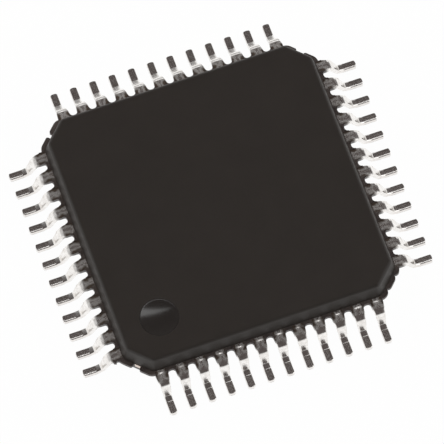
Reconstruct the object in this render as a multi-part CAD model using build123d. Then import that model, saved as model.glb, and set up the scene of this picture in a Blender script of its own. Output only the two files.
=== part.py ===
from build123d import *

import os
from math import cos, radians, sqrt, tan

# A thin quad flat package in millimetres. The origin is the centre of the package on the plane
# that its feet stand on, +Z is up, and the pin 1 corner is at -X -Y. Leads are numbered from
# there, anticlockwise as seen from above: front, right, back and left.

# Rows of leads
leads_per_side = 12
lead_pitch = 0.50
row_end_margin = 0.75  # from the last lead's centre to the corner of the body's square

# Moulded body
body_thickness = 1.00
standoff = 0.05  # from the soles of the feet to the underside
corner_chamfer = 0.57  # leg of each corner's chamfer at the parting line
draft_angle = 12.0  # degrees, of every wall away from the parting line
edge_fillet = 0.09  # round the top and the underside

# Pin 1 mark, a round recess in the top
dimple_diameter = 0.98
dimple_depth = 0.07
dimple_inset = 1.13  # from the body's sides to the centre of the recess
dimple_floor_bevel = 0.03

# Flash left round the parting line where the frame's dam bar was punched away
flash_reach = 0.07  # beyond the body between two leads
flash_corner_reach = 0.09  # beyond a corner chamfer
flash_corner_round = 0.10

# Leads
lead_overhang = 0.98  # of the feet's tips beyond the body
lead_thickness = 0.127
shoulder_width = 0.30
shoulder_reach = 0.19  # of its flat part beyond the body
knee_width = 0.26
foot_width = 0.18
knee_radius = 0.12  # inside of the upper bend
heel_radius = 0.10  # inside of the lower bend
leg_lean = 13.0  # degrees from upright
inner_lead_width = 0.20
inner_turn_depth = 0.45  # where the lead turns towards the die
inner_lead_length = 1.05  # from the body's side to the lead's inner tip
inner_tip_width = 0.15
inner_tip_margin = 0.58  # from the last tip's centre to the corner where two rows of tips meet

# Die paddle on its four tie bars
paddle_gap = 0.35  # from the paddle to the inner tips
paddle_downset = 0.12
paddle_corner_setback = 0.10  # from the paddle's corner to the foot of a tie bar's ramp
tie_ramp_run = 0.20
tie_bar_width = 0.18

# Die on its adhesive
die_width = 2.80
die_thickness = 0.25
die_attach_thickness = 0.02
die_attach_fillet = 0.08  # of adhesive beyond each side of the die

# Bond wires
wire_width = 0.022  # of a square as large in section as a round wire of 0.025
wire_loop_height = 0.12  # above the die
wire_loop_shoulder = 0.30  # share of the span at which the loop starts to fall
wire_pad_margin = 0.30  # from the last pad's centre to the die's corner
wire_pad_inset = 0.09  # from the die's edge
wire_stitch_inset = 0.14  # from the lead's inner tip

# Where the flash is broken at each corner: how far along the chamfer, and how wide.
# Three corners show where a tie bar was cut, and the fourth the two sides of the mould's gate.
corner_breaks = {
    "front_left": [(0.00, 0.19)],
    "front_right": [(-0.19, 0.05), (0.22, 0.05)],
    "back_right": [(0.00, 0.20)],
    "back_left": [(0.00, 0.12)],
}
corner_names = list(corner_breaks)
side_names = ["front", "right", "back", "left"]

# Levels and places that follow from the sizes above, with each reach taken from the centre
pitches_per_side = leads_per_side - 1
body_reach = pitches_per_side * lead_pitch / 2 + row_end_margin
lead_reach = body_reach + lead_overhang
inner_tip_reach = body_reach - inner_lead_length
inner_tip_pitch = 2 * (inner_tip_reach - inner_tip_margin) / pitches_per_side
paddle_reach = inner_tip_reach - paddle_gap
wire_pad_pitch = (die_width - 2 * wire_pad_margin) / pitches_per_side
parting_z = standoff + body_thickness / 2
body_top = standoff + body_thickness
lead_top = parting_z + lead_thickness / 2
foot_centre_z = lead_thickness / 2
paddle_z = parting_z - paddle_downset
paddle_top = paddle_z + lead_thickness / 2
die_bottom = paddle_top + die_attach_thickness
die_top = die_bottom + die_thickness
chamfer_distance = sqrt(2) * (body_reach - corner_chamfer / 2)
quarter_turn = 90


def turned_to_side(side):
    """What is drawn pointing along +X is turned to a side: 0 front, 1 right, 2 back, 3 left."""
    return Rot(Z=quarter_turn * (side - 1))


def across(index, pitch):
    """Place of one of a side's leads along the side."""
    return (index - pitches_per_side / 2) * pitch


def octagon(reach, distance):
    """A square of half-width reach, with its corners cut at a distance from the centre."""
    near = sqrt(2) * distance - reach
    corners = [(reach, -near), (reach, near), (near, reach), (-near, reach)]
    corners += [(-x, -y) for x, y in corners]
    return make_face(Polyline(*corners, close=True))


def mould_half():
    """The body above the parting line, drafted and rounded at its top, with that line at z = 0."""
    outline = octagon(body_reach, chamfer_distance)
    half = extrude(outline, body_thickness / 2, taper=draft_angle)
    return fillet(half.faces().sort_by(Axis.Z)[-1].edges(), edge_fillet)


def flash_outline():
    """The flash in plan, broken at the corners."""
    outline = octagon(body_reach + flash_reach, chamfer_distance + flash_corner_reach)
    outline = fillet(outline.vertices(), flash_corner_round)
    notches = []
    for corner, name in enumerate(corner_names):
        for along, width in corner_breaks[name]:
            start = chamfer_distance - flash_corner_reach / 2
            depth = 2 * flash_corner_reach
            notch = Pos(start + depth / 2, along) * Rectangle(depth, width)
            notches.append(Rot(Z=quarter_turn * (corner - 1) - 45) * notch)
    return outline - notches


def solid_moulding():
    """The whole moulding before its inserts are taken out of it."""
    flash = extrude(Pos(0, 0, lead_top) * flash_outline(), -lead_thickness)
    half = mould_half()
    moulding = Pos(0, 0, parting_z) * (half + mirror(half, Plane.XY)) + flash
    recess = Cylinder(dimple_diameter / 2, 2 * dimple_depth)
    recess = chamfer(recess.edges().group_by(Axis.Z)[0], dimple_floor_bevel)
    place = dimple_inset - body_reach
    return moulding - Pos(place, place, body_top) * recess


def lead_strip():
    """The lead's bent strip, far too wide: level shoulder, knee, leg, heel and level foot."""
    turn = radians(90 - leg_lean)
    knee = knee_radius + lead_thickness / 2
    heel = heel_radius + lead_thickness / 2
    knee_x = body_reach + shoulder_reach + knee * tan(turn / 2)
    heel_x = knee_x + (parting_z - foot_centre_z) / tan(turn)
    points = [
        (inner_tip_reach, parting_z),
        (knee_x, parting_z),
        (heel_x, foot_centre_z),
        (lead_reach, foot_centre_z),
    ]
    section = trace(FilletPolyline(*points, radius=[knee, heel]), lead_thickness)
    return extrude(Plane.XZ * section, body_reach, both=True)


def lead_from_above(index):
    """The lead in plan, pointing along +X, with its inner end drawn in towards the die."""
    inner_shift = across(index, inner_tip_pitch) - across(index, lead_pitch)
    upper = [
        (inner_tip_reach, inner_tip_width / 2 + inner_shift),
        (body_reach - inner_turn_depth, inner_lead_width / 2),
        (body_reach + flash_reach, shoulder_width / 2),
        (body_reach + shoulder_reach, knee_width / 2),
        (lead_reach, knee_width / 2),
    ]
    lower = [(x, -y) for x, y in upper]
    lower[0] = (inner_tip_reach, inner_shift - inner_tip_width / 2)
    return extrude(make_face(Polyline(*upper, *reversed(lower), close=True)), body_top)


def lead_from_the_end():
    """The lead as seen along its foot: the leg narrows between the knee and the heel."""
    turn = radians(90 - leg_lean)
    knee_centre_z = lead_top - lead_thickness - knee_radius
    leg_top = knee_centre_z + knee_radius * cos(turn)
    leg_bottom = lead_thickness + heel_radius * (1 - cos(turn))
    right = [
        (body_reach, body_top),
        (body_reach, leg_top),
        (knee_width / 2, leg_top),
        (foot_width / 2, leg_bottom),
        (foot_width / 2, 0),
    ]
    left = [(-y, z) for y, z in right]
    outline = make_face(Polyline(*right, *reversed(left), close=True))
    return extrude(Plane.YZ * outline, lead_reach)


def lead(index):
    """One lead of a side, pointing along +X."""
    formed = lead_strip() & lead_from_above(index) & lead_from_the_end()
    return Pos(0, across(index, lead_pitch), 0) * formed


def tie_bar():
    """One tie bar along +X, from under the paddle's corner up to the lead frame's level."""
    paddle_corner = sqrt(2) * paddle_reach
    ramp_start = paddle_corner + paddle_corner_setback
    points = [
        (paddle_corner - tie_bar_width, paddle_z),
        (ramp_start, paddle_z),
        (ramp_start + tie_ramp_run, parting_z),
        (chamfer_distance, parting_z),
    ]
    profile = trace(Polyline(*points), lead_thickness)
    return extrude(Plane.XZ * profile, tie_bar_width / 2, both=True)


def die_paddle():
    """The plate that carries the die, with a tie bar at each corner."""
    paddle = Pos(0, 0, paddle_z) * Box(2 * paddle_reach, 2 * paddle_reach, lead_thickness)
    for corner in range(len(corner_names)):
        paddle += Rot(Z=45 + quarter_turn * corner) * tie_bar()
    return paddle


def bond_wire(index):
    """One looped wire from the die to a lead's inner end, on the side that faces +X."""
    start = Vector(die_width / 2 - wire_pad_inset, across(index, wire_pad_pitch), die_top)
    tip_y = across(index, inner_tip_pitch)
    turn_x = body_reach - inner_turn_depth
    along = wire_stitch_inset / (turn_x - inner_tip_reach)
    end_y = tip_y + along * (across(index, lead_pitch) - tip_y)
    end = Vector(inner_tip_reach + wire_stitch_inset, end_y, lead_top)
    rise = Vector(0, 0, wire_loop_height)
    span = Vector(end.X - start.X, end.Y - start.Y, 0)
    bury = Vector(0, 0, wire_width)
    route = Polyline(
        start - bury,
        start + rise,
        start + span * wire_loop_shoulder + rise,
        end - bury,
    )
    section = Plane(start - bury, z_dir=(0, 0, 1)) * Rectangle(wire_width, wire_width)
    return sweep(section, path=route, transition=Transition.RIGHT)


def build():
    """Every separate piece of the package, by name."""
    pieces = {}
    local_leads = [lead(index) for index in range(leads_per_side)]
    local_wires = [bond_wire(index) for index in range(leads_per_side)]
    for side in range(len(side_names)):
        for index in range(leads_per_side):
            number = side * leads_per_side + index + 1
            pieces[f"lead_{number:02d}"] = turned_to_side(side) * local_leads[index]
    pieces["die_paddle"] = die_paddle()
    adhesive_width = die_width + 2 * die_attach_fillet
    adhesive = Box(adhesive_width, adhesive_width, die_attach_thickness)
    pieces["die_attach"] = Pos(0, 0, (paddle_top + die_bottom) / 2) * adhesive
    die = Box(die_width, die_width, die_thickness)
    pieces["silicon_die"] = Pos(0, 0, (die_bottom + die_top) / 2) * die
    for side, name in enumerate(side_names):
        wires = []
        for index in range(leads_per_side):
            wire = turned_to_side(side) * local_wires[index]
            number = side * leads_per_side + index + 1
            wires += (wire - pieces["silicon_die"] - pieces[f"lead_{number:02d}"]).solids()
        pieces[f"bond_wires_{name}"] = Compound(wires)
    inserts = [solid for piece in pieces.values() for solid in piece.solids()]
    pieces["moulded_body"] = solid_moulding() - inserts
    return pieces


os.makedirs("parts", exist_ok=True)
for name, piece in build().items():
    export_step(piece, f"parts/{name}.step")
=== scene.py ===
from functools import partial, reduce
from math import cos, pi, radians, sin, sqrt, tan

import bmesh
import bpy
from mathutils import Matrix, Vector


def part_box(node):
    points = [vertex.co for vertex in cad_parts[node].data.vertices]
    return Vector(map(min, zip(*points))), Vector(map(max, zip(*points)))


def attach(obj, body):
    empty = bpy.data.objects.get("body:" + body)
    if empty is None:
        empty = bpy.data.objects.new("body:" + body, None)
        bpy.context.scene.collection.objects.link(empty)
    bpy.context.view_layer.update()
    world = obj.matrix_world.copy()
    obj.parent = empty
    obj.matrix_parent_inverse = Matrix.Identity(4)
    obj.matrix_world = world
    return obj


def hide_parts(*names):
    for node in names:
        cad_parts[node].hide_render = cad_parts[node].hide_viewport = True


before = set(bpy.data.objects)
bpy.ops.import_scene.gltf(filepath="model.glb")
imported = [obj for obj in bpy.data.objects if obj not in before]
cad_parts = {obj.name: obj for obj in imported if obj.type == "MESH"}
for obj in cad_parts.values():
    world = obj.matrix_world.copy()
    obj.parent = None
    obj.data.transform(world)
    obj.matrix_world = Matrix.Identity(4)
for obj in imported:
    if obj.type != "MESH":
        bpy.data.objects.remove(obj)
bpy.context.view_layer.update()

# A 48-lead thin quad flat package. Shapes are worked out in millimetres and turned into metres
# when a piece is finished. The origin is the package's centre on the plane its feet stand on.
MM = 0.001
SIDES = ("front", "right", "back", "left")

# What the frame says of the body and its rows of leads
body_low, body_high = (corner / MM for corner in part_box("moulded_body"))
lead_low, lead_high = (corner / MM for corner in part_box("lead_01"))
lead_names = sorted(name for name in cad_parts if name.startswith("lead_"))
leads_per_side = len(lead_names) // len(SIDES)
flash_reach = body_high.x  # from the centre to the flash between the leads
standoff = body_low.z
body_top = body_high.z
parting_z = (standoff + body_top) / 2
lead_tip = -lead_low.y
lead_top = lead_high.z

# Rows of leads
lead_pitch = 0.50
lead_thickness = 0.127
half_thickness = lead_thickness / 2

# Moulded body
body_reach = 3.50  # from the centre to the side at the parting line
corner_chamfer = 0.57
chamfer_distance = sqrt(2) * (body_reach - corner_chamfer / 2)
draft_angle = radians(12)
edge_fillet = 0.09
fillet_steps = 7

# Flash at the parting line
flash_over = 0.003  # the lead frame's upper face
flash_thickness = 0.100
flash_cling = 0.08  # out along the side of each lead
flash_tuck = 0.006  # of a hollow's ends into the leads beside it
flash_lap = 0.015  # further in over the edge of each lead
flash_corner = 0.099  # beyond a corner chamfer
flash_break_floor = 0.0067  # of a break, inside the chamfer's widest line
row_end_round = 0.02
chamfer_end_round = 0.09
lump_round = 0.05  # of the flash beside a break
flash_round_steps = 4

# Breaks in the flash at the corners, anticlockwise from the front left one: how far along the
# chamfer, and how wide. A narrow break is the nick at one side of the mould's gate.
corner_breaks = (
    ((-0.03, 0.19),),
    ((-0.19, 0.05), (0.22, 0.05)),
    ((0.03, 0.20),),
    ((0.00, 0.12),),
)
narrow_break = 0.08

# A torn scrap of flash beside the last lead of the left row, in plan as if that row faced +X
torn_scrap = (
    (3.71, 2.89), (3.755, 2.90), (3.735, 2.955), (3.68, 2.975), (3.665, 2.93), (3.61, 2.94),
)

# Pin 1 recess
recess_radius = 0.49
recess_depth = 0.07
recess_inset = 1.13  # from the body's sides to its centre
recess_place = recess_inset - body_reach
recess_lip = 0.004
recess_wall_depth = 0.004
recess_steps = 64
recess_rings = 14
lip_steps = 4

# A lead's strip along its path
inner_tip = 2.45
inner_tip_pitch = 0.34
inner_turn = 3.05
root_start = body_reach - 0.03
droop_start = body_reach + 0.045
droop_radius = 0.30
droop_turn = radians(13)
shoulder_end = body_reach + 0.235
knee_radius = 0.105
leg_turn = radians(66.5)
heel_radius = 0.04
toe_turn = radians(16)  # slope left beside the heel
toe_start = 4.125
toe_radius = 0.15
tip_corner_round = 0.035
tip_edge_round = 0.006
droop_steps = 4
bend_steps = 12
tip_steps = 5

# A lead's widths along that path
inner_tip_width = 0.15
inner_turn_width = 0.20
root_width = 0.318
knee_width = 0.29  # where the shoulder starts to bend
leg_width = 0.24  # where the leg starts
heel_width = 0.19
foot_width = 0.18

# A lead's long edges: rounded below, and rolled down above by the punch. The roll is pairs of how
# far in from the side and how far down.
lower_edge_round = 0.008
lower_edge_steps = 3
upper_roll = ((0.0, 0.016), (0.004, 0.008), (0.010, 0.0045), (0.035, 0.0014), (0.055, 0.0))

# A foot's face is a punched one where its normal points this much sideways, or straight outwards
sideways_limit = 0.8
outward_limit = 0.999

# Vertices this near are merged, and this near to a level they lie in it
merge_gap = 1e-5
level_gap = 1e-4

# Shading: edges that turn more than these angles stay sharp, and a face this level counts this
# much more than its area
body_sharp_angle = radians(50)
lead_sharp_angle = radians(40)
level_limit = 0.99999
level_weight = 1000

# Places of a piece's further finishes, after its main one
recess_finish = 1
flash_finish = 2
punched_finish = 1

# Where a mask starts and ends its climb from one value or tint to the other
mask_low = 0.3
mask_high = 0.7

# Resin smeared on a lead's root: the width of its edge, how much further it reaches towards the
# left for each millimetre, and how far and how often to the millimetre its edge wanders
smear_blur = 0.10
smear_lean = 0.010
smear_wander = 0.20
smear_waves = 6

# The side of a foot is torn, and painted darker with the floor's contact shade, below this height,
# and wholly below the second
torn_and_shaded_start = 0.022
torn_and_shaded_full = 0.008

# Camera: turned about the upright, leant over and rolled, then drawn back along its own axis
camera_yaw = radians(-16.70)
camera_tilt = radians(23.48)
camera_roll = radians(-2.96)
camera_pull = (0.043, -0.072, 229.3)
camera_lens = 764.2
camera_sensor = 36.0

# Floor and softboxes, in metres. A softbox has its azimuth anticlockwise from +X and its height,
# both in degrees, and its power in watts.
floor_reach = 0.6
floor_glow = 0.98  # share of its own light in what the eye sees of the floor
softbox_size = 0.20
softbox_distance = 0.35
softboxes = {
    "left_softbox": (165, 28, 0.15),
    "right_softbox": (20, 30, 0.3),
    "back_softbox": (95, 30, 0.3),
}

# The sky, by unit directions: how bright each panel is, and the edges that bound it. An edge is
# the direction towards the panel, how far along it the panel starts, and its blur.
sky_dark = (0.090, 0.078, 0.075)
sky_panels = (
    # right wall, left wall with its greyer upper part
    (1.0, (((1, 0, 0), 0.40, 0.10), ((0, 0, -1), -0.25, 0.05))),
    (1.0, (((-1, 0, 0), 0.35, 0.10), ((0, 0, -1), -0.42, 0.20))),
    (0.6, (((-1, 0, 0), 0.38, 0.08), ((0, 0, -1), -0.80, 0.06))),
    # panels in front, to the right and left of the viewer
    (1.0, (((1, 0, 0), 0.40, 0.10), ((0, -1, 0), -0.20, 0.10), ((0, 0, -1), -0.75, 0.05))),
    (1.0, (((-1, 0, 0), 0.25, 0.10), ((0, -1, 0), -0.20, 0.10), ((0, 0, -1), -0.75, 0.05))),
    # a low glow straight in front
    (0.8, (((0, -1, 0), 0.50, 0.10), ((0, 0, -1), -0.12, 0.14))),
    # wall behind, with a white strip above its grey foot
    (0.42, (((0, 1, 0), 0.45, 0.05), ((0, 0, -1), -0.35, 0.04))),
    (1.0, (((0, 1, 0), 0.45, 0.05), ((0, 0, 1), 0.28, 0.02), ((0, 0, -1), -0.54, 0.02))),
    # wedge of light overhead
    (1.5, (((0.30, 0.95, 0), 0.134, 0.012), ((-0.04, -1, 0), -0.221, 0.012),
           ((0, 0, 1), 0.6, 0.1))),
)


# Meshes

def shade_evenly(mesh, sharp_angle):
    """Shades each corner by its largest smooth neighbours, so that a flat stays flat to its rim."""
    mesh.shade_smooth()
    smooth_limit = cos(sharp_angle)
    around = [[] for _ in mesh.vertices]
    for face in mesh.polygons:
        weight = face.area * (level_weight if abs(face.normal.z) > level_limit else 1)
        for vert in face.vertices:
            around[vert].append((face.normal.copy(), weight))
    normals = []
    for face in mesh.polygons:
        for vert in face.vertices:
            total = Vector()
            for normal, weight in around[vert]:
                if normal.dot(face.normal) > smooth_limit:
                    total += normal * weight
            normals.append(total.normalized())
    mesh.normals_split_custom_set(normals)


def finish_piece(bm, name, materials, sharp_angle):
    """A mesh worked in millimetres becomes an object of the scene, in metres, at the origin."""
    bmesh.ops.remove_doubles(bm, verts=bm.verts, dist=merge_gap)
    bmesh.ops.recalc_face_normals(bm, faces=bm.faces)
    bmesh.ops.scale(bm, vec=(MM, MM, MM), verts=bm.verts)
    mesh = bpy.data.meshes.new(name)
    bm.to_mesh(mesh)
    bm.free()
    shade_evenly(mesh, sharp_angle)
    for material in materials:
        mesh.materials.append(material)
    piece = bpy.data.objects.new(name, mesh)
    bpy.context.scene.collection.objects.link(piece)
    return piece


def outline_face(bm, points, z):
    """One flat face through points in plan. A point is (x, y) or (x, y, radius of its corner)."""
    corners = [bm.verts.new((point[0], point[1], z)) for point in points]
    face = bm.faces.new(corners)
    face.normal_update()
    radii = sorted({point[2] for point in points if len(point) > 2})
    for radius in radii:
        verts = [vert for vert, point in zip(corners, points) if point[2:] == (radius,)]
        bmesh.ops.bevel(bm, geom=verts, offset=radius, offset_type="OFFSET",
                        segments=flash_round_steps, profile=0.5, affect="VERTICES", material=-1)
    return max(bm.faces, key=lambda each: each.calc_area()) if radii else face


def octagon_points(reach, distance):
    """A square of half-width reach with its corners cut at a distance from the centre."""
    near = sqrt(2) * distance - reach
    half = [(reach, -near), (reach, near), (near, reach), (-near, reach)]
    return half + [(-x, -y) for x, y in half]


def turned(points, turn):
    """Points in plan, turned about the centre. A radius stays with its point."""
    return [(x * cos(turn) - y * sin(turn), x * sin(turn) + y * cos(turn), *rest)
            for x, y, *rest in points]


def across(index, pitch):
    """Place of one of a side's leads along the side."""
    return (index - (leads_per_side - 1) / 2) * pitch


def side_turn(side):
    """Turn of what is drawn along +X to a side: 0 front, 1 right, 2 back, 3 left."""
    return (side - 1) * pi / 2


# Moulded body

def flash_along_a_side():
    """The flash in plan along a side that faces +X: round each lead, and hollowed between two."""
    inside = root_width / 2 - flash_tuck
    steps = [
        (flash_reach, inside, flash_cling),
        (flash_reach + flash_cling, inside),
        (flash_reach + flash_cling, inside - flash_lap),
        (body_reach, inside - flash_lap),
    ]
    row = []
    for index in range(leads_per_side):
        middle = across(index, lead_pitch)
        row += [(x, middle - y, *rest) for x, y, *rest in steps]
        row += [(x, middle + y, *rest) for x, y, *rest in reversed(steps)]
    for end in (0, -1):
        row[end] = (*row[end][:2], row_end_round)
    return row


def flash_at_a_corner(breaks):
    """The flash in plan over a chamfer that faces +X, with its breaks."""
    reach = chamfer_distance + flash_corner
    floor = chamfer_distance - flash_break_floor
    points = []
    for along, width in breaks:
        if width < narrow_break:
            points += [
                (reach, along - width, lump_round),
                (floor + width / 2, along),
                (reach, along + width, lump_round),
            ]
        else:
            points += [
                (reach, along - width / 2, lump_round),
                (floor, along - width / 2),
                (floor, along + width / 2),
                (reach, along + width / 2, lump_round),
            ]
    return points


def flash_points():
    """The whole outline of the flash in plan."""
    near = sqrt(2) * (chamfer_distance + flash_corner) - flash_reach
    points = []
    for side, name in enumerate(SIDES):
        row = flash_along_a_side()
        if name == "left":
            row[-2:] = torn_scrap
        row.append((flash_reach, near, chamfer_end_round))
        points += turned(row, side_turn(side))
        breaks = corner_breaks[(side + 1) % len(SIDES)]
        points += turned(flash_at_a_corner(breaks), side_turn(side) + pi / 4)
        points += turned([(near, flash_reach, chamfer_end_round)], side_turn(side))
    return points


def flash_plate(bm, low, high):
    """The upright edge of the flash all round, open above and below."""
    plate = outline_face(bm, flash_points(), low)
    raised = bmesh.ops.extrude_face_region(bm, geom=[plate], use_keep_orig=True)["geom"]
    cap = next(item for item in raised if isinstance(item, bmesh.types.BMFace))
    bmesh.ops.translate(bm, vec=(0, 0, high - low), verts=cap.verts)
    bmesh.ops.delete(bm, geom=[plate, cap], context="FACES_ONLY")


def lies_level(verts, z):
    """Whether all vertices lie at a level."""
    return all(abs(vert.co.z - z) < level_gap for vert in verts)


def fill_level(bm, z):
    """Closes the flat between the open outlines at a level. Returns its faces."""
    open_edges = [edge for edge in bm.edges if edge.is_boundary and lies_level(edge.verts, z)]
    filled = bmesh.ops.triangle_fill(bm, edges=open_edges, use_beauty=True, normal=(0, 0, 1))
    return [item for item in filled["geom"] if isinstance(item, bmesh.types.BMFace)]


def half_body(bm, base_z, end_z):
    """Walls and round edges of one half of the mould, from the flash to the flat, open at both."""
    drawn_in = abs(base_z - parting_z) * tan(draft_angle)
    points = octagon_points(body_reach - drawn_in, chamfer_distance - drawn_in)
    end = outline_face(bm, points, base_z)
    height = end_z - base_z
    bmesh.ops.inset_region(bm, faces=[end], thickness=abs(height) * tan(draft_angle),
                           use_even_offset=True, use_boundary=True)
    bmesh.ops.translate(bm, vec=(0, 0, height), verts=end.verts)
    rim = list(end.edges)
    upright = [edge for vert in end.verts for edge in vert.link_edges if edge not in rim]
    turn = pi / 2 - draft_angle
    bmesh.ops.bevel(bm, geom=rim + upright, offset=edge_fillet * tan(turn / 2),
                    offset_type="OFFSET", segments=fillet_steps, profile=0.5, affect="EDGES",
                    material=-1)
    flat = [face for face in bm.faces if lies_level(face.verts, end_z)]
    bmesh.ops.delete(bm, geom=flat, context="FACES_ONLY")


def pin_recess(bm):
    """The polished dish at the pin 1 corner, open at its mouth."""
    profile = []
    for step in range(lip_steps + 1):
        turn = step / lip_steps * pi / 2
        profile.append((recess_radius + recess_lip * (1 - sin(turn)), recess_lip * (cos(turn) - 1)))
    dish_radius = recess_radius - recess_lip
    hollow = recess_depth - recess_wall_depth
    for ring in range(recess_rings, -1, -1):
        share = ring / recess_rings
        profile.append((dish_radius * share, -recess_wall_depth - hollow * (1 - share ** 2)))
    centre = Vector((recess_place, recess_place, body_top))
    verts = [bm.verts.new(centre + Vector((x, 0, z))) for x, z in profile]
    edges = [bm.edges.new(pair) for pair in zip(verts, verts[1:])]
    before = set(bm.faces)
    bmesh.ops.spin(bm, geom=verts + edges, cent=centre, axis=(0, 0, 1), angle=2 * pi,
                   steps=recess_steps, use_merge=True)
    for face in set(bm.faces) - before:
        if face.calc_center_median().z < body_top - recess_lip:
            face.material_index = recess_finish
    bmesh.ops.remove_doubles(bm, verts=bm.verts, dist=merge_gap)


def moulded_body(materials):
    """The whole moulding: two drafted halves and the plate of flash between them."""
    bm = bmesh.new()
    flash_high = lead_top + flash_over
    flash_low = flash_high - flash_thickness
    flash_plate(bm, flash_low, flash_high)
    half_body(bm, flash_high, body_top)
    half_body(bm, flash_low, standoff)
    pin_recess(bm)
    fill_level(bm, body_top)
    fill_level(bm, standoff)
    flash_faces = fill_level(bm, flash_high) + fill_level(bm, flash_low)
    flash_faces += [face for face in bm.faces
                    if flash_low < face.calc_center_median().z < flash_high]
    for face in flash_faces:
        face.material_index = flash_finish
    piece = finish_piece(bm, "epoxy_body", materials, body_sharp_angle)
    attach(piece, "root")
    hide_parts("moulded_body")


# Leads

def strip_end(bm, x, y, width):
    """The strip's first cross-section, rolled down along its upper edges by the punch."""
    low = lead_top - lead_thickness
    ratio = width / foot_width
    rolled = [(width / 2 - inward * ratio, lead_top - down) for inward, down in upper_roll]
    places = [(-width / 2, low), (width / 2, low)] + rolled
    places += [(-sideways, z) for sideways, z in reversed(rolled)]
    corners = [bm.verts.new((x, y + sideways, z)) for sideways, z in places]
    bm.faces.new(corners)
    bmesh.ops.bevel(bm, geom=corners[:2], offset=lower_edge_round, offset_type="OFFSET",
                    segments=lower_edge_steps, profile=0.5, affect="VERTICES", material=-1)
    return bm.faces[:][0]


def carry_on(bm, end, move, width):
    """The strip goes on from its end by a move, and reaches a width there."""
    end = bmesh.ops.extrude_discrete_faces(bm, faces=[end])["faces"][0]
    bmesh.ops.transform(bm, matrix=move, verts=end.verts)
    sides = [vert.co.y for vert in end.verts]
    middle = (max(sides) + min(sides)) / 2
    ratio = width / (max(sides) - min(sides))
    bmesh.ops.scale(bm, vec=(1, ratio, 1), verts=end.verts,
                    space=Matrix.Translation((0, -middle, 0)))
    return end


def bend(bm, end, centre, turn, steps, start_width, end_width):
    """The strip bends about a line across it, in even steps, and narrows fastest at first."""
    for step in range(1, steps + 1):
        about = Matrix.Rotation(turn / steps, 4, "Y")
        move = Matrix.Translation(centre) @ about @ Matrix.Translation(-centre)
        share = sin(step / steps * pi / 2)
        end = carry_on(bm, end, move, start_width + (end_width - start_width) * share)
    return end


def go_straight(bm, end, turn, length, width):
    """The strip goes on straight at its slope, for a length."""
    move = Vector((cos(turn), 0, -sin(turn))) * length
    return carry_on(bm, end, Matrix.Translation(move), width)


def inner_strip(bm, index):
    """The strip from its inner tip, past the turn in its row, to the start of its droop."""
    shift = across(index, inner_tip_pitch) - across(index, lead_pitch)
    end = strip_end(bm, inner_tip, shift, inner_tip_width)
    x = inner_tip
    for reach, width, sideways in ((inner_turn, inner_turn_width, -shift),
                                   (root_start, root_width, 0),
                                   (droop_start, root_width, 0)):
        end = carry_on(bm, end, Matrix.Translation((reach - x, sideways, 0)), width)
        x = reach
    return end


def shoulder_and_knee(bm, end):
    """The drooping shoulder, bent over at the knee. Returns its end, and where that lies."""
    x = droop_start
    z = lead_top - half_thickness
    end = bend(bm, end, Vector((x, 0, z - droop_radius)), droop_turn, droop_steps,
               root_width, root_width)
    x += droop_radius * sin(droop_turn)
    z -= droop_radius * (1 - cos(droop_turn))
    length = (shoulder_end - x) / cos(droop_turn)
    end = go_straight(bm, end, droop_turn, length, knee_width)
    z -= length * sin(droop_turn)

    knee = knee_radius + half_thickness
    centre = Vector((shoulder_end - knee * sin(droop_turn), 0, z - knee * cos(droop_turn)))
    end = bend(bm, end, centre, leg_turn - droop_turn, bend_steps, knee_width, leg_width)
    return end, centre.x + knee * sin(leg_turn), centre.z + knee * cos(leg_turn)


def leg_and_foot(bm, end, x, z):
    """The leg down from the knee's end, the heel, and the toe's slope out to the level foot."""
    heel = heel_radius + half_thickness
    toe_z = half_thickness + toe_radius * (1 - cos(toe_turn))
    run = toe_start - x - heel * (sin(leg_turn) - sin(toe_turn))
    fall = z - toe_z - heel * (cos(toe_turn) - cos(leg_turn))
    ramp = (run * tan(leg_turn) - fall) / (cos(toe_turn) * tan(leg_turn) - sin(toe_turn))
    length = (run - ramp * cos(toe_turn)) / cos(leg_turn)
    end = go_straight(bm, end, leg_turn, length, heel_width)
    x += length * cos(leg_turn) + heel * sin(leg_turn)
    z += heel * cos(leg_turn) - length * sin(leg_turn)
    end = bend(bm, end, Vector((x, 0, z)), toe_turn - leg_turn, bend_steps, heel_width, foot_width)
    end = go_straight(bm, end, toe_turn, ramp, foot_width)
    foot_x = toe_start + toe_radius * sin(toe_turn)
    centre = Vector((foot_x, 0, half_thickness + toe_radius))
    return bend(bm, end, centre, -toe_turn, droop_steps, foot_width, foot_width), foot_x


def rounded_tip(bm, end, x):
    """The level foot out to its tip: rounded in plan at its corners, then all round its end."""
    for step in range(tip_steps + 1):
        turn = step / tip_steps * pi / 2
        reach = lead_tip - tip_edge_round - tip_corner_round * (1 - sin(turn))
        width = foot_width - 2 * tip_corner_round * (1 - cos(turn))
        end = go_straight(bm, end, 0, reach - x, width)
        x = reach
    height = lead_thickness
    for turn in (pi / 4, pi / 2):
        inset = tip_edge_round * (1 - cos(turn))
        reach = lead_tip - tip_edge_round * (1 - sin(turn))
        end = go_straight(bm, end, 0, reach - x, width - 2 * inset)
        x = reach
        ratio = (lead_thickness - 2 * inset) / height
        bmesh.ops.scale(bm, vec=(1, 1, ratio), verts=end.verts,
                        space=Matrix.Translation((0, 0, -half_thickness)))
        height *= ratio


def lead_mesh(index):
    """One gull-wing lead along +X, as a strip drawn from its inner tip out to its foot."""
    bm = bmesh.new()
    end = inner_strip(bm, index)
    end, x, z = shoulder_and_knee(bm, end)
    end, x = leg_and_foot(bm, end, x, z)
    rounded_tip(bm, end, x)
    bmesh.ops.holes_fill(bm, edges=bm.edges)
    bmesh.ops.recalc_face_normals(bm, faces=bm.faces)
    for face in bm.faces:
        punched = abs(face.normal.y) > sideways_limit or face.normal.x > outward_limit
        if punched and face.calc_center_median().z < lead_thickness:
            face.material_index = punched_finish
    return bm


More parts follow.
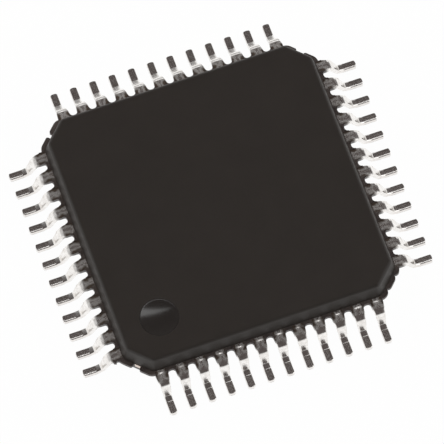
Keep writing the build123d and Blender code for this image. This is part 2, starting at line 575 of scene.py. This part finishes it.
def all_leads(materials):
    """Every lead in its own place, numbered anticlockwise from the pin 1 corner."""
    for number, node in enumerate(lead_names):
        side, index = divmod(number, leads_per_side)
        bm = lead_mesh(index)
        place = Matrix.Translation((0, across(index, lead_pitch), 0))
        turn = Matrix.Rotation(side_turn(side), 4, "Z")
        bmesh.ops.transform(bm, matrix=turn @ place, verts=bm.verts)
        name = node.replace("lead", "formed_lead")
        piece = finish_piece(bm, name, materials, lead_sharp_angle)
        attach(piece, "root")
        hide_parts(node)


# Node trees

def calculated(tree, operation, *values):
    """What an operation makes of numbers or sockets."""
    node = tree.nodes.new("ShaderNodeMath")
    node.operation = operation
    for socket, value in zip(node.inputs, values):
        if isinstance(value, bpy.types.NodeSocket):
            tree.links.new(value, socket)
        else:
            socket.default_value = value
    return node.outputs[0]


def new_effect(name, inputs, outputs):
    """A node group, with its inputs and outputs, and the piece's own coordinates inside it."""
    tree = bpy.data.node_groups.new(name, "ShaderNodeTree")
    for in_out, labels in (("INPUT", inputs), ("OUTPUT", outputs)):
        for label in labels:
            tree.interface.new_socket(label, in_out=in_out, socket_type="NodeSocketFloat")
    entry = tree.nodes.new("NodeGroupInput").outputs
    result = tree.nodes.new("NodeGroupOutput").inputs
    place = tree.nodes.new("ShaderNodeTexCoord").outputs["Object"]
    return tree, entry, result, place


def grain_effect():
    """Fine even grain: a height, and masks of patches and specks, sized in millimetres."""
    tree, entry, result, place = new_effect(
        "fine_grain", ("Grain Size", "Patch Size"), ("Height", "Patches", "Specks"))
    for size, output, kind, source in (
            ("Grain Size", "Height", "ShaderNodeTexNoise", "Fac"),
            ("Patch Size", "Patches", "ShaderNodeTexNoise", "Fac"),
            ("Grain Size", "Specks", "ShaderNodeTexVoronoi", "Distance")):
        texture = tree.nodes.new(kind)
        if kind == "ShaderNodeTexNoise":
            texture.inputs["Detail"].default_value = 3
        tree.links.new(place, texture.inputs["Vector"])
        tree.links.new(calculated(tree, "DIVIDE", 1 / MM, entry[size]), texture.inputs["Scale"])
        tree.links.new(texture.outputs[source], result[output])
    return tree


def brushed_effect():
    """Fine scratches that run one way in plan: a height and a mask, sized in millimetres."""
    tree, entry, result, place = new_effect(
        "brushed_scratches", ("Spacing", "Length", "Turn"), ("Height", "Patches"))
    turn = tree.nodes.new("ShaderNodeVectorRotate")
    turn.rotation_type = "Z_AXIS"
    tree.links.new(place, turn.inputs["Vector"])
    tree.links.new(entry["Turn"], turn.inputs["Angle"])
    spread = tree.nodes.new("ShaderNodeCombineXYZ")
    for axis, size in (("X", "Length"), ("Y", "Spacing"), ("Z", "Spacing")):
        tree.links.new(calculated(tree, "DIVIDE", 1 / MM, entry[size]), spread.inputs[axis])
    stretch = tree.nodes.new("ShaderNodeVectorMath")
    stretch.operation = "MULTIPLY"
    tree.links.new(turn.outputs["Vector"], stretch.inputs[0])
    tree.links.new(spread.outputs["Vector"], stretch.inputs[1])
    for output, detail, scale in (("Height", 4, 1.0), ("Patches", 2, 0.25)):
        noise = tree.nodes.new("ShaderNodeTexNoise")
        noise.inputs["Scale"].default_value = scale
        noise.inputs["Detail"].default_value = detail
        tree.links.new(stretch.outputs["Vector"], noise.inputs["Vector"])
        tree.links.new(noise.outputs["Fac"], result[output])
    return tree


def root_smear_effect():
    """A mask of the resin smeared over the sides of each lead's root, in millimetres."""
    tree, entry, result, place = new_effect(
        "root_smear", ("Pitch", "Clear Width", "Reach"), ("Smear",))
    calc = partial(calculated, tree)
    axes = tree.nodes.new("ShaderNodeSeparateXYZ")
    tree.links.new(place, axes.inputs["Vector"])
    x = calc("MULTIPLY", axes.outputs["X"], 1 / MM)
    y = calc("MULTIPLY", axes.outputs["Y"], 1 / MM)
    x_size = calc("ABSOLUTE", x)
    y_size = calc("ABSOLUTE", y)
    outward = calc("MAXIMUM", x_size, y_size)
    faces_x = calc("GREATER_THAN", x_size, y_size)
    faces_y = calc("SUBTRACT", 1.0, faces_x)
    along = calc("ADD", calc("MULTIPLY", y, faces_x), calc("MULTIPLY", x, faces_y))
    share = calc("FRACT", calc("DIVIDE", along, entry["Pitch"]))
    off_centre = calc("MULTIPLY", calc("ABSOLUTE", calc("SUBTRACT", share, 0.5)), entry["Pitch"])

    wander = tree.nodes.new("ShaderNodeTexNoise")
    wander.inputs["Scale"].default_value = smear_waves / MM
    tree.links.new(place, wander.inputs["Vector"])
    uneven = calc("MULTIPLY", calc("SUBTRACT", wander.outputs["Fac"], 0.5), smear_wander)
    past_middle = calc("SUBTRACT", calc("ADD", off_centre, uneven),
                       calc("MULTIPLY", entry["Clear Width"], 0.5))
    short_of_reach = calc("SUBTRACT", calc("SUBTRACT", entry["Reach"], outward),
                          calc("MULTIPLY_ADD", x, smear_lean, uneven))
    masks = []
    for inside in (past_middle, short_of_reach):
        limit = tree.nodes.new("ShaderNodeClamp")
        tree.links.new(calc("MULTIPLY_ADD", inside, 1 / smear_blur, 0.5), limit.inputs["Value"])
        masks.append(limit.outputs["Result"])
    tree.links.new(calc("MULTIPLY", *masks), result["Smear"])
    return tree


# Materials

def new_material(name):
    """A material, its node tree and the Principled shader in it."""
    material = bpy.data.materials.new(name)
    material.use_nodes = True
    tree = material.node_tree
    return material, tree, tree.nodes["Principled BSDF"]


def place_effect(tree, effect, **values):
    """A shared effect placed in a material with its own values. Returns its outputs."""
    node = tree.nodes.new("ShaderNodeGroup")
    node.node_tree = effect
    for name, value in values.items():
        node.inputs[name.replace("_", " ")].default_value = value
    return node.outputs


def vary(tree, mask, socket, low, high):
    """A mask drives a socket between two numbers."""
    spread = tree.nodes.new("ShaderNodeMapRange")
    spread.inputs["From Min"].default_value = mask_low
    spread.inputs["From Max"].default_value = mask_high
    spread.inputs["To Min"].default_value = low
    spread.inputs["To Max"].default_value = high
    tree.links.new(mask, spread.inputs["Value"])
    tree.links.new(spread.outputs["Result"], socket)


def tint(tree, mask, socket, dark, light):
    """A mask drives a colour between two tints."""
    ramp = tree.nodes.new("ShaderNodeValToRGB")
    ends = ramp.color_ramp.elements
    for end, place, colour in zip(ends, (mask_low, mask_high), (dark, light)):
        end.position = place
        end.color = (*colour, 1)
    tree.links.new(mask, ramp.inputs["Fac"])
    tree.links.new(ramp.outputs["Color"], socket)


def cover(tree, mask, socket, colour):
    """A colour covers what a socket gets, where a mask is 1. Returns the socket for the rest."""
    mix = tree.nodes.new("ShaderNodeMix")
    mix.data_type = "RGBA"
    mix.inputs["B"].default_value = (*colour, 1)
    tree.links.new(mask, mix.inputs["Factor"])
    tree.links.new(mix.outputs["Result"], socket)
    return mix.inputs["A"]


def bump(tree, mask, shader, height):
    """A mask raises the surface by a height in millimetres."""
    raised = tree.nodes.new("ShaderNodeBump")
    raised.inputs["Strength"].default_value = 1.0
    raised.inputs["Distance"].default_value = height * MM
    tree.links.new(mask, raised.inputs["Height"])
    tree.links.new(raised.outputs["Normal"], shader.inputs["Normal"])


def mould_compound(grain):
    """Black epoxy with a fine spark-eroded matt face and faint grey specks of filler."""
    material, tree, shader = new_material("mould_compound")
    effect = place_effect(tree, grain, Grain_Size=0.03, Patch_Size=0.6)
    tint(tree, effect["Patches"], shader.inputs["Base Color"],
         dark=(0.0190, 0.0143, 0.0110), light=(0.0220, 0.0168, 0.0132))
    vary(tree, effect["Specks"], shader.inputs["Roughness"], low=0.46, high=0.54)
    bump(tree, effect["Height"], shader, height=0.0012)
    return material


def polished_recess(grain):
    """The same epoxy, cast against the polished end of a pin."""
    material, tree, shader = new_material("polished_recess")
    effect = place_effect(tree, grain, Grain_Size=0.05, Patch_Size=0.4)
    shader.inputs["Specular IOR Level"].default_value = 1.0
    tint(tree, effect["Patches"], shader.inputs["Base Color"],
         dark=(0.0190, 0.0165, 0.0150), light=(0.0215, 0.0185, 0.0165))
    vary(tree, effect["Patches"], shader.inputs["Roughness"], low=0.14, high=0.18)
    bump(tree, effect["Height"], shader, height=0.0001)
    return material


def flash_resin(grain):
    """Thin clear resin squeezed out at the parting line: browner, and rougher where it broke."""
    material, tree, shader = new_material("flash_resin")
    effect = place_effect(tree, grain, Grain_Size=0.06, Patch_Size=0.25)
    tint(tree, effect["Patches"], shader.inputs["Base Color"],
         dark=(0.042, 0.031, 0.028), light=(0.082, 0.064, 0.056))
    vary(tree, effect["Patches"], shader.inputs["Roughness"], low=0.35, high=0.5)
    bump(tree, effect["Height"], shader, height=0.006)
    return material


def tin_plate(brushed, smear):
    """Matt tin with fine slanting scratches, and resin smeared on the sides of its roots."""
    material, tree, shader = new_material("tin_plate")
    effect = place_effect(tree, brushed, Spacing=0.018, Length=0.16, Turn=0.7)
    resin = place_effect(tree, smear, Pitch=lead_pitch, Clear_Width=0.11, Reach=3.745)["Smear"]
    tin = cover(tree, resin, shader.inputs["Base Color"], colour=(0.072, 0.054, 0.042))
    tint(tree, effect["Patches"], tin, dark=(0.80, 0.77, 0.74), light=(0.98, 0.96, 0.935))
    tree.links.new(calculated(tree, "SUBTRACT", 1.0, resin), shader.inputs["Metallic"])
    vary(tree, effect["Height"], shader.inputs["Roughness"], low=0.14, high=0.20)
    bump(tree, effect["Height"], shader, height=0.0005)
    return material


def punched_side(grain):
    """The foot's punched sides: tin over a duller face, torn along the sole and painted darker
    there as contact shade.
    """
    material, tree, shader = new_material("punched_side")
    shader.inputs["Metallic"].default_value = 1.0
    effect = place_effect(tree, grain, Grain_Size=0.02, Patch_Size=0.15)
    axes = tree.nodes.new("ShaderNodeSeparateXYZ")
    place = tree.nodes.new("ShaderNodeTexCoord").outputs["Object"]
    tree.links.new(place, axes.inputs["Vector"])
    # The dark band along the sole is partly the torn face and partly painted contact shade from the
    # floor
    torn_and_shaded = tree.nodes.new("ShaderNodeMapRange")
    torn_and_shaded.inputs["From Min"].default_value = torn_and_shaded_start * MM
    torn_and_shaded.inputs["From Max"].default_value = torn_and_shaded_full * MM
    tree.links.new(axes.outputs["Z"], torn_and_shaded.inputs["Value"])
    tin = cover(tree, torn_and_shaded.outputs["Result"], shader.inputs["Base Color"],
                colour=(0.10, 0.08, 0.07))
    tint(tree, effect["Patches"], tin, dark=(0.80, 0.76, 0.73), light=(0.94, 0.91, 0.88))
    vary(tree, effect["Patches"], shader.inputs["Roughness"], low=0.3, high=0.4)
    bump(tree, effect["Height"], shader, height=0.001)
    return material


def sealed_metal(name, brushed, spacing, dark, light):
    """A metal sealed inside the moulding, with the lines of its rolling or drawing."""
    material, tree, shader = new_material(name)
    shader.inputs["Metallic"].default_value = 1.0
    effect = place_effect(tree, brushed, Spacing=spacing, Length=0.5, Turn=0.0)
    tint(tree, effect["Patches"], shader.inputs["Base Color"], dark, light)
    vary(tree, effect["Height"], shader.inputs["Roughness"], low=0.25, high=0.4)
    bump(tree, effect["Height"], shader, height=0.001)
    return material


def die_adhesive(grain):
    """Silver-filled epoxy paste under the die, grainy and dull."""
    material, tree, shader = new_material("die_adhesive")
    shader.inputs["Metallic"].default_value = 0.4
    effect = place_effect(tree, grain, Grain_Size=0.015, Patch_Size=0.3)
    tint(tree, effect["Specks"], shader.inputs["Base Color"],
         dark=(0.35, 0.34, 0.32), light=(0.55, 0.54, 0.52))
    vary(tree, effect["Patches"], shader.inputs["Roughness"], low=0.5, high=0.65)
    bump(tree, effect["Height"], shader, height=0.002)
    return material


def silicon(grain):
    """The die: dark, almost mirror-flat, with a faint play of blue and violet films."""
    material, tree, shader = new_material("silicon")
    shader.inputs["Coat Weight"].default_value = 0.5
    effect = place_effect(tree, grain, Grain_Size=0.1, Patch_Size=0.8)
    tint(tree, effect["Patches"], shader.inputs["Base Color"],
         dark=(0.05, 0.06, 0.10), light=(0.10, 0.08, 0.12))
    vary(tree, effect["Specks"], shader.inputs["Roughness"], low=0.15, high=0.25)
    bump(tree, effect["Height"], shader, height=0.0005)
    return material


def dress_sealed_nodes(grain, brushed):
    """The pieces sealed in the moulding keep their solids and get their real finishes."""
    copper = sealed_metal("copper_frame", brushed, spacing=0.02,
                          dark=(0.697, 0.595, 0.527), light=(0.82, 0.70, 0.62))
    gold = sealed_metal("gold_wire", brushed, spacing=0.004,
                        dark=(0.799, 0.595, 0.255), light=(0.94, 0.70, 0.30))
    finishes = {"die_paddle": copper, "die_attach": die_adhesive(grain),
                "silicon_die": silicon(grain)}
    finishes.update({f"bond_wires_{side}": gold for side in SIDES})
    for node, finish in finishes.items():
        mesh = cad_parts[node].data
        mesh.materials.clear()
        mesh.materials.append(finish)


# Studio

def white_for_the_eye(tree):
    """1 for rays from the camera, and for those that a gloss or a glass sends on."""
    path = tree.nodes.new("ShaderNodeLightPath").outputs
    sent_on = calculated(tree, "MAXIMUM", path["Is Glossy Ray"], path["Is Transmission Ray"])
    return calculated(tree, "MAXIMUM", path["Is Camera Ray"], sent_on)


def white_floor():
    """Plain white that partly glows for the eye, and so keeps only a trace of a shadow."""
    material, tree, shader = new_material("white_floor")
    shader.inputs["Base Color"].default_value = (0.94, 0.94, 0.935, 1)
    shader.inputs["Roughness"].default_value = 0.9
    shader.inputs["Specular IOR Level"].default_value = 0.0
    glow = tree.nodes.new("ShaderNodeEmission")
    glow.inputs["Strength"].default_value = 1.0
    mix = tree.nodes.new("ShaderNodeMixShader")
    share = calculated(tree, "MULTIPLY", white_for_the_eye(tree), floor_glow)
    tree.links.new(share, mix.inputs["Fac"])
    tree.links.new(shader.outputs["BSDF"], mix.inputs[1])
    tree.links.new(glow.outputs["Emission"], mix.inputs[2])
    tree.links.new(mix.outputs["Shader"], tree.nodes["Material Output"].inputs["Surface"])
    return material


def pale_floor():
    """The plain square floor that the package stands on."""
    bm = bmesh.new()
    bmesh.ops.create_grid(bm, x_segments=1, y_segments=1, size=floor_reach)
    mesh = bpy.data.meshes.new("floor")
    bm.to_mesh(mesh)
    bm.free()
    mesh.materials.append(white_floor())
    floor = bpy.data.objects.new("floor", mesh)
    bpy.context.scene.collection.objects.link(floor)


def soft_edge(tree, direction, inward, place, blur):
    """A mask of the sky that climbs from 0 to 1 past a place along a direction."""
    reach = tree.nodes.new("ShaderNodeVectorMath")
    reach.operation = "DOT_PRODUCT"
    reach.inputs[1].default_value = inward
    tree.links.new(direction, reach.inputs[0])
    edge = tree.nodes.new("ShaderNodeMapRange")
    edge.interpolation_type = "SMOOTHSTEP"
    edge.inputs["From Min"].default_value = place - blur
    edge.inputs["From Max"].default_value = place + blur
    tree.links.new(reach.outputs["Value"], edge.inputs["Value"])
    return edge.outputs["Result"]


def studio_world():
    """A dark sky with its bright panels, and plain white for rays straight from the camera."""
    world = bpy.data.worlds.new("studio")
    bpy.context.scene.world = world
    world.use_nodes = True
    tree = world.node_tree
    direction = tree.nodes.new("ShaderNodeTexCoord").outputs["Generated"]
    panels = []
    for strength, edges in sky_panels:
        masks = [soft_edge(tree, direction, *edge) for edge in edges]
        inside = reduce(partial(calculated, tree, "MULTIPLY"), masks)
        panels.append(calculated(tree, "MULTIPLY", inside, strength))
    sky = tree.nodes.new("ShaderNodeVectorMath")
    sky.operation = "MAXIMUM"
    tree.links.new(reduce(partial(calculated, tree, "MAXIMUM"), panels), sky.inputs[0])
    sky.inputs[1].default_value = sky_dark
    seen = tree.nodes.new("ShaderNodeMix")
    seen.data_type = "RGBA"
    path = tree.nodes.new("ShaderNodeLightPath")
    tree.links.new(path.outputs["Is Camera Ray"], seen.inputs["Factor"])
    tree.links.new(sky.outputs["Vector"], seen.inputs["A"])
    seen.inputs["B"].default_value = (1, 1, 1, 1)
    tree.links.new(seen.outputs["Result"], tree.nodes["Background"].inputs["Color"])


def soft_lamp(name, azimuth, height, power):
    """A square softbox that looks at the package."""
    lamp = bpy.data.lights.new(name, "AREA")
    lamp.shape = "SQUARE"
    lamp.size = softbox_size
    lamp.energy = power
    holder = bpy.data.objects.new(name, lamp)
    turn, lift = radians(azimuth), radians(height)
    toward = Vector((cos(turn) * cos(lift), sin(turn) * cos(lift), sin(lift)))
    holder.matrix_world = (Matrix.Translation(toward * softbox_distance)
                           @ toward.to_track_quat("Z", "Y").to_matrix().to_4x4())
    holder.visible_glossy = False
    bpy.context.scene.collection.objects.link(holder)


def studio_camera():
    """The photograph's view: from above the pin 1 corner's side, almost without perspective."""
    camera = bpy.data.cameras.new("camera")
    camera.sensor_width = camera_sensor
    camera.lens = camera_lens
    camera.clip_start = 0.01
    camera.clip_end = 5.0
    holder = bpy.data.objects.new("camera", camera)
    turn = (Matrix.Rotation(camera_yaw, 4, "Z") @ Matrix.Rotation(camera_tilt, 4, "X")
            @ Matrix.Rotation(camera_roll, 4, "Z"))
    holder.matrix_world = turn @ Matrix.Translation(Vector(camera_pull) * MM)
    bpy.context.scene.collection.objects.link(holder)
    bpy.context.scene.camera = holder


bpy.context.scene.view_settings.view_transform = "Standard"
grain = grain_effect()
brushed = brushed_effect()
moulded_body([mould_compound(grain), polished_recess(grain), flash_resin(grain)])
all_leads([tin_plate(brushed, root_smear_effect()), punched_side(grain)])
dress_sealed_nodes(grain, brushed)
pale_floor()
studio_world()
for name, setting in softboxes.items():
    soft_lamp(name, *setting)
studio_camera()
